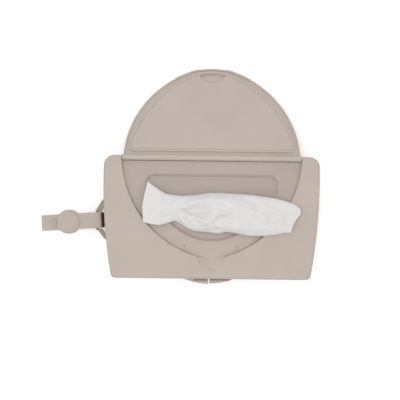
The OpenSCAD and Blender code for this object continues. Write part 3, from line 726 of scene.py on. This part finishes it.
# Soft ridges and hollows: two ends, half-width and height of each
folds = [
    (-30.7, 6.0, -24.4, 7.7, 1.0, -2.8), (-28.5, 7.9, -22.5, 9.8, 1.5, 1.6),
    (-20, 6.0, -6, 7, 5.2, -7.0), (-29.5, -0.5, -21, -9.5, 1.5, 2.2),
    (-25.5, 0.5, -18.5, -8, 1.0, -2.0), (-21, -5.7, -19.4, -9.8, 0.7, -1.6),
    (0.4, -6.5, 5.6, 0.2, 1.3, -2.2), (5.6, 0.2, 12.9, 2.1, 1.3, -2.4),
    (12.9, 2.1, 21, 1.0, 1.4, -1.7), (0.5, -2.5, 7, 3.4, 2.2, 1.6),
    (7, 3.4, 16, 4.6, 2.2, 1.6), (-6, -12.5, 8, -11, 1.5, -2.0),
    (-19.4, 13, -8, 16.6, 2.8, 2.0), (-8, 16.6, 8, 16.8, 2.8, 1.9),
    (8, 16.8, 23.3, 14.5, 3.0, 1.6), (18, 10.2, 38.6, 6.4, 3.2, 1.8),
    (38.6, 6.4, 50, 0.4, 3.2, 1.5), (-43.4, 22, -45.3, 12, 1.4, -1.3),
    (-24.8, 4, -6.1, -4.5, 2.0, 2.2), (-6.1, -4.5, 9.7, -8.5, 2.2, 1.8),
    (-31.3, 6, -48, 3, 2.4, 1.6), (-48, 3, -60, 1, 2.6, 1.0),
    (31, 17.5, 73, 6.4, 2.0, -1.2), (26.5, -5.5, 68.4, 0.6, 2.4, 1.5),
    (22, -10, 60, -10.5, 2.2, 1.2), (-38, 9, -52, 17, 2.6, 1.2),
    (46, 12.5, 60, 8.5, 2.2, 1.2), (-12, -1, 2, -2.5, 2.0, 1.4),
    (6, 10, 20, 7.5, 2.6, -1.3), (24, 1, 44, -2.5, 2.2, -1.1),
    (-36, 12, -30, 18, 1.8, 0.9), (52, 4, 70, 5, 2.0, -0.8),
]
mouth_middle, mouth_width, mouth_gap = -11, 36, 1.2
pleat_count, pleat_depth = 8, 3.2


def read_off(table, x):
    return float(np.interp(x, [p[0] for p in table], [p[1] for p in table]))


def fold_height(x, y):
    """Height that the ridges and hollows add at a place, in millimetres."""
    total = 0.0
    for x0, y0, x1, y1, width, height in folds:
        dx, dy = x1 - x0, y1 - y0
        t = min(1, max(0, ((x - x0) * dx + (y - y0) * dy) / (dx * dx + dy * dy)))
        away = math.hypot(x - x0 - t * dx, y - y0 - t * dy) / width
        if away < 3:
            total += height * math.exp(-away * away)
    return total


def smooth(t):
    t = min(1, max(0, t))
    return t * t * (3 - 2 * t)


def wipe_point(part, t, side, u):
    """A place on the wipe: its part, how far along it, back or front, left to right."""
    wide = edge_left + (edge_right - edge_left) * u
    mouth = mouth_middle + mouth_width * (u - 0.5)
    pleat = math.sin(2 * math.pi * pleat_count * u)
    if part == "pack":
        g = smooth(t)
        x = mouth + (wide - mouth) * g
        y = slot_y + side * (mouth_gap + 38 * t) + pleat_depth * pleat * (1 - g)
        lift = 0.35 * (1 + math.sin(0.21 * x + side)) + 1.6 * (1 - smooth(t * 4))
        return x, y, pack_top + lift
    if part == "neck":
        neck_foot = pack_top + 2.2
        y = slot_y + side * mouth_gap + pleat_depth * pleat
        return mouth, y, neck_foot + (slot_top - neck_foot) * t
    back, front = read_off(back_edge, wide), read_off(front_edge, wide)
    under, rise = read_off(ground, wide), read_off(heights, wide)
    if part == "under":
        rim = back if side > 0 else front
        x = mouth + (wide - mouth) * smooth(t * 1.1)
        y = slot_y + side * mouth_gap + pleat_depth * pleat * (1 - smooth(t * 1.6))
        y += (rim - slot_y - side * mouth_gap) * t**1.4
        z = slot_top + (under + 0.35 - slot_top) * smooth(t * 1.7) + 0.5 * pleat * (1 - t) * t
    else:
        turn = math.pi * t
        x, y = wide, (back + front) / 2 + (back - front) / 2 * math.cos(turn)
        free = math.sin(turn) ** 0.5
        z = under + 0.75 + rise * math.sin(turn) ** 0.72
        z += fold_height(x, y) * free * min(1, rise / 5)
        swirl = math.atan2(y - 7, x + 26)
        swirl_fade = math.exp(-math.hypot(x + 26, y - 7) / 34)
        z += 0.22 * math.sin(17 * swirl + 0.12 * x) * free * swirl_fade
        z += 0.10 * math.sin(0.9 * x + 1.7 * y) * math.sin(0.63 * y - 0.5 * x) * free
    if wide < 0:
        shift, near = read_off(left_edge, y) - edge_left, smooth((-38 - wide) / 27.2)
    else:
        shift, near = read_off(right_edge, y) - edge_right, smooth((wide - 58) / 25.9)
    x += shift * near * (smooth(t * 1.1) if part == "under" else 1)
    return x, y, z


# From one end of the wipe to the other: part, how far along it, and its side
stations = [("pack", 1 - t, 1) for t in np.linspace(0, 1, 18, endpoint=False)]
stations += [("neck", t, 1) for t in np.linspace(0, 1, 10, endpoint=False)]
stations += [("under", t, 1) for t in np.linspace(0, 1, 20, endpoint=False)]
stations += [("over", t, 1) for t in np.linspace(0, 1, 96, endpoint=False)]
stations += [("under", 1 - t, -1) for t in np.linspace(0, 1, 20, endpoint=False)]
stations += [("neck", 1 - t, -1) for t in np.linspace(0, 1, 10, endpoint=False)]
stations += [("pack", t, -1) for t in np.linspace(0, 1, 18)]
columns = 220
wipe_mesh = bmesh.new()
grid = []
for part, t, side in stations:
    places = [wipe_point(part, t, side, j / columns) for j in range(columns + 1)]
    grid.append([wipe_mesh.verts.new([mm * c for c in place]) for place in places])
for a, b in zip(grid, grid[1:]):
    for j in range(columns):
        wipe_mesh.faces.new((a[j], a[j + 1], b[j + 1], b[j]))
bmesh.ops.recalc_face_normals(wipe_mesh, faces=wipe_mesh.faces)
out_of_the_slot = [v for row in grid[30:-30] for v in row[1:-1]]
for _ in range(2):
    bmesh.ops.smooth_vert(
        wipe_mesh, verts=out_of_the_slot, factor=0.5,
        use_axis_x=True, use_axis_y=True, use_axis_z=True,
    )
pulled_wipe = finished(wipe_mesh, "pulled_wipe", wipe_cloth)
smooth_faces(pulled_wipe.data)
cloth_thickness = pulled_wipe.modifiers.new("cloth_thickness", "SOLIDIFY")
cloth_thickness.thickness = 0.0003
cloth_thickness.offset = 0
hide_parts("wipe_sheet")
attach(pulled_wipe, "case_front")
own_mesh(pulled_wipe)
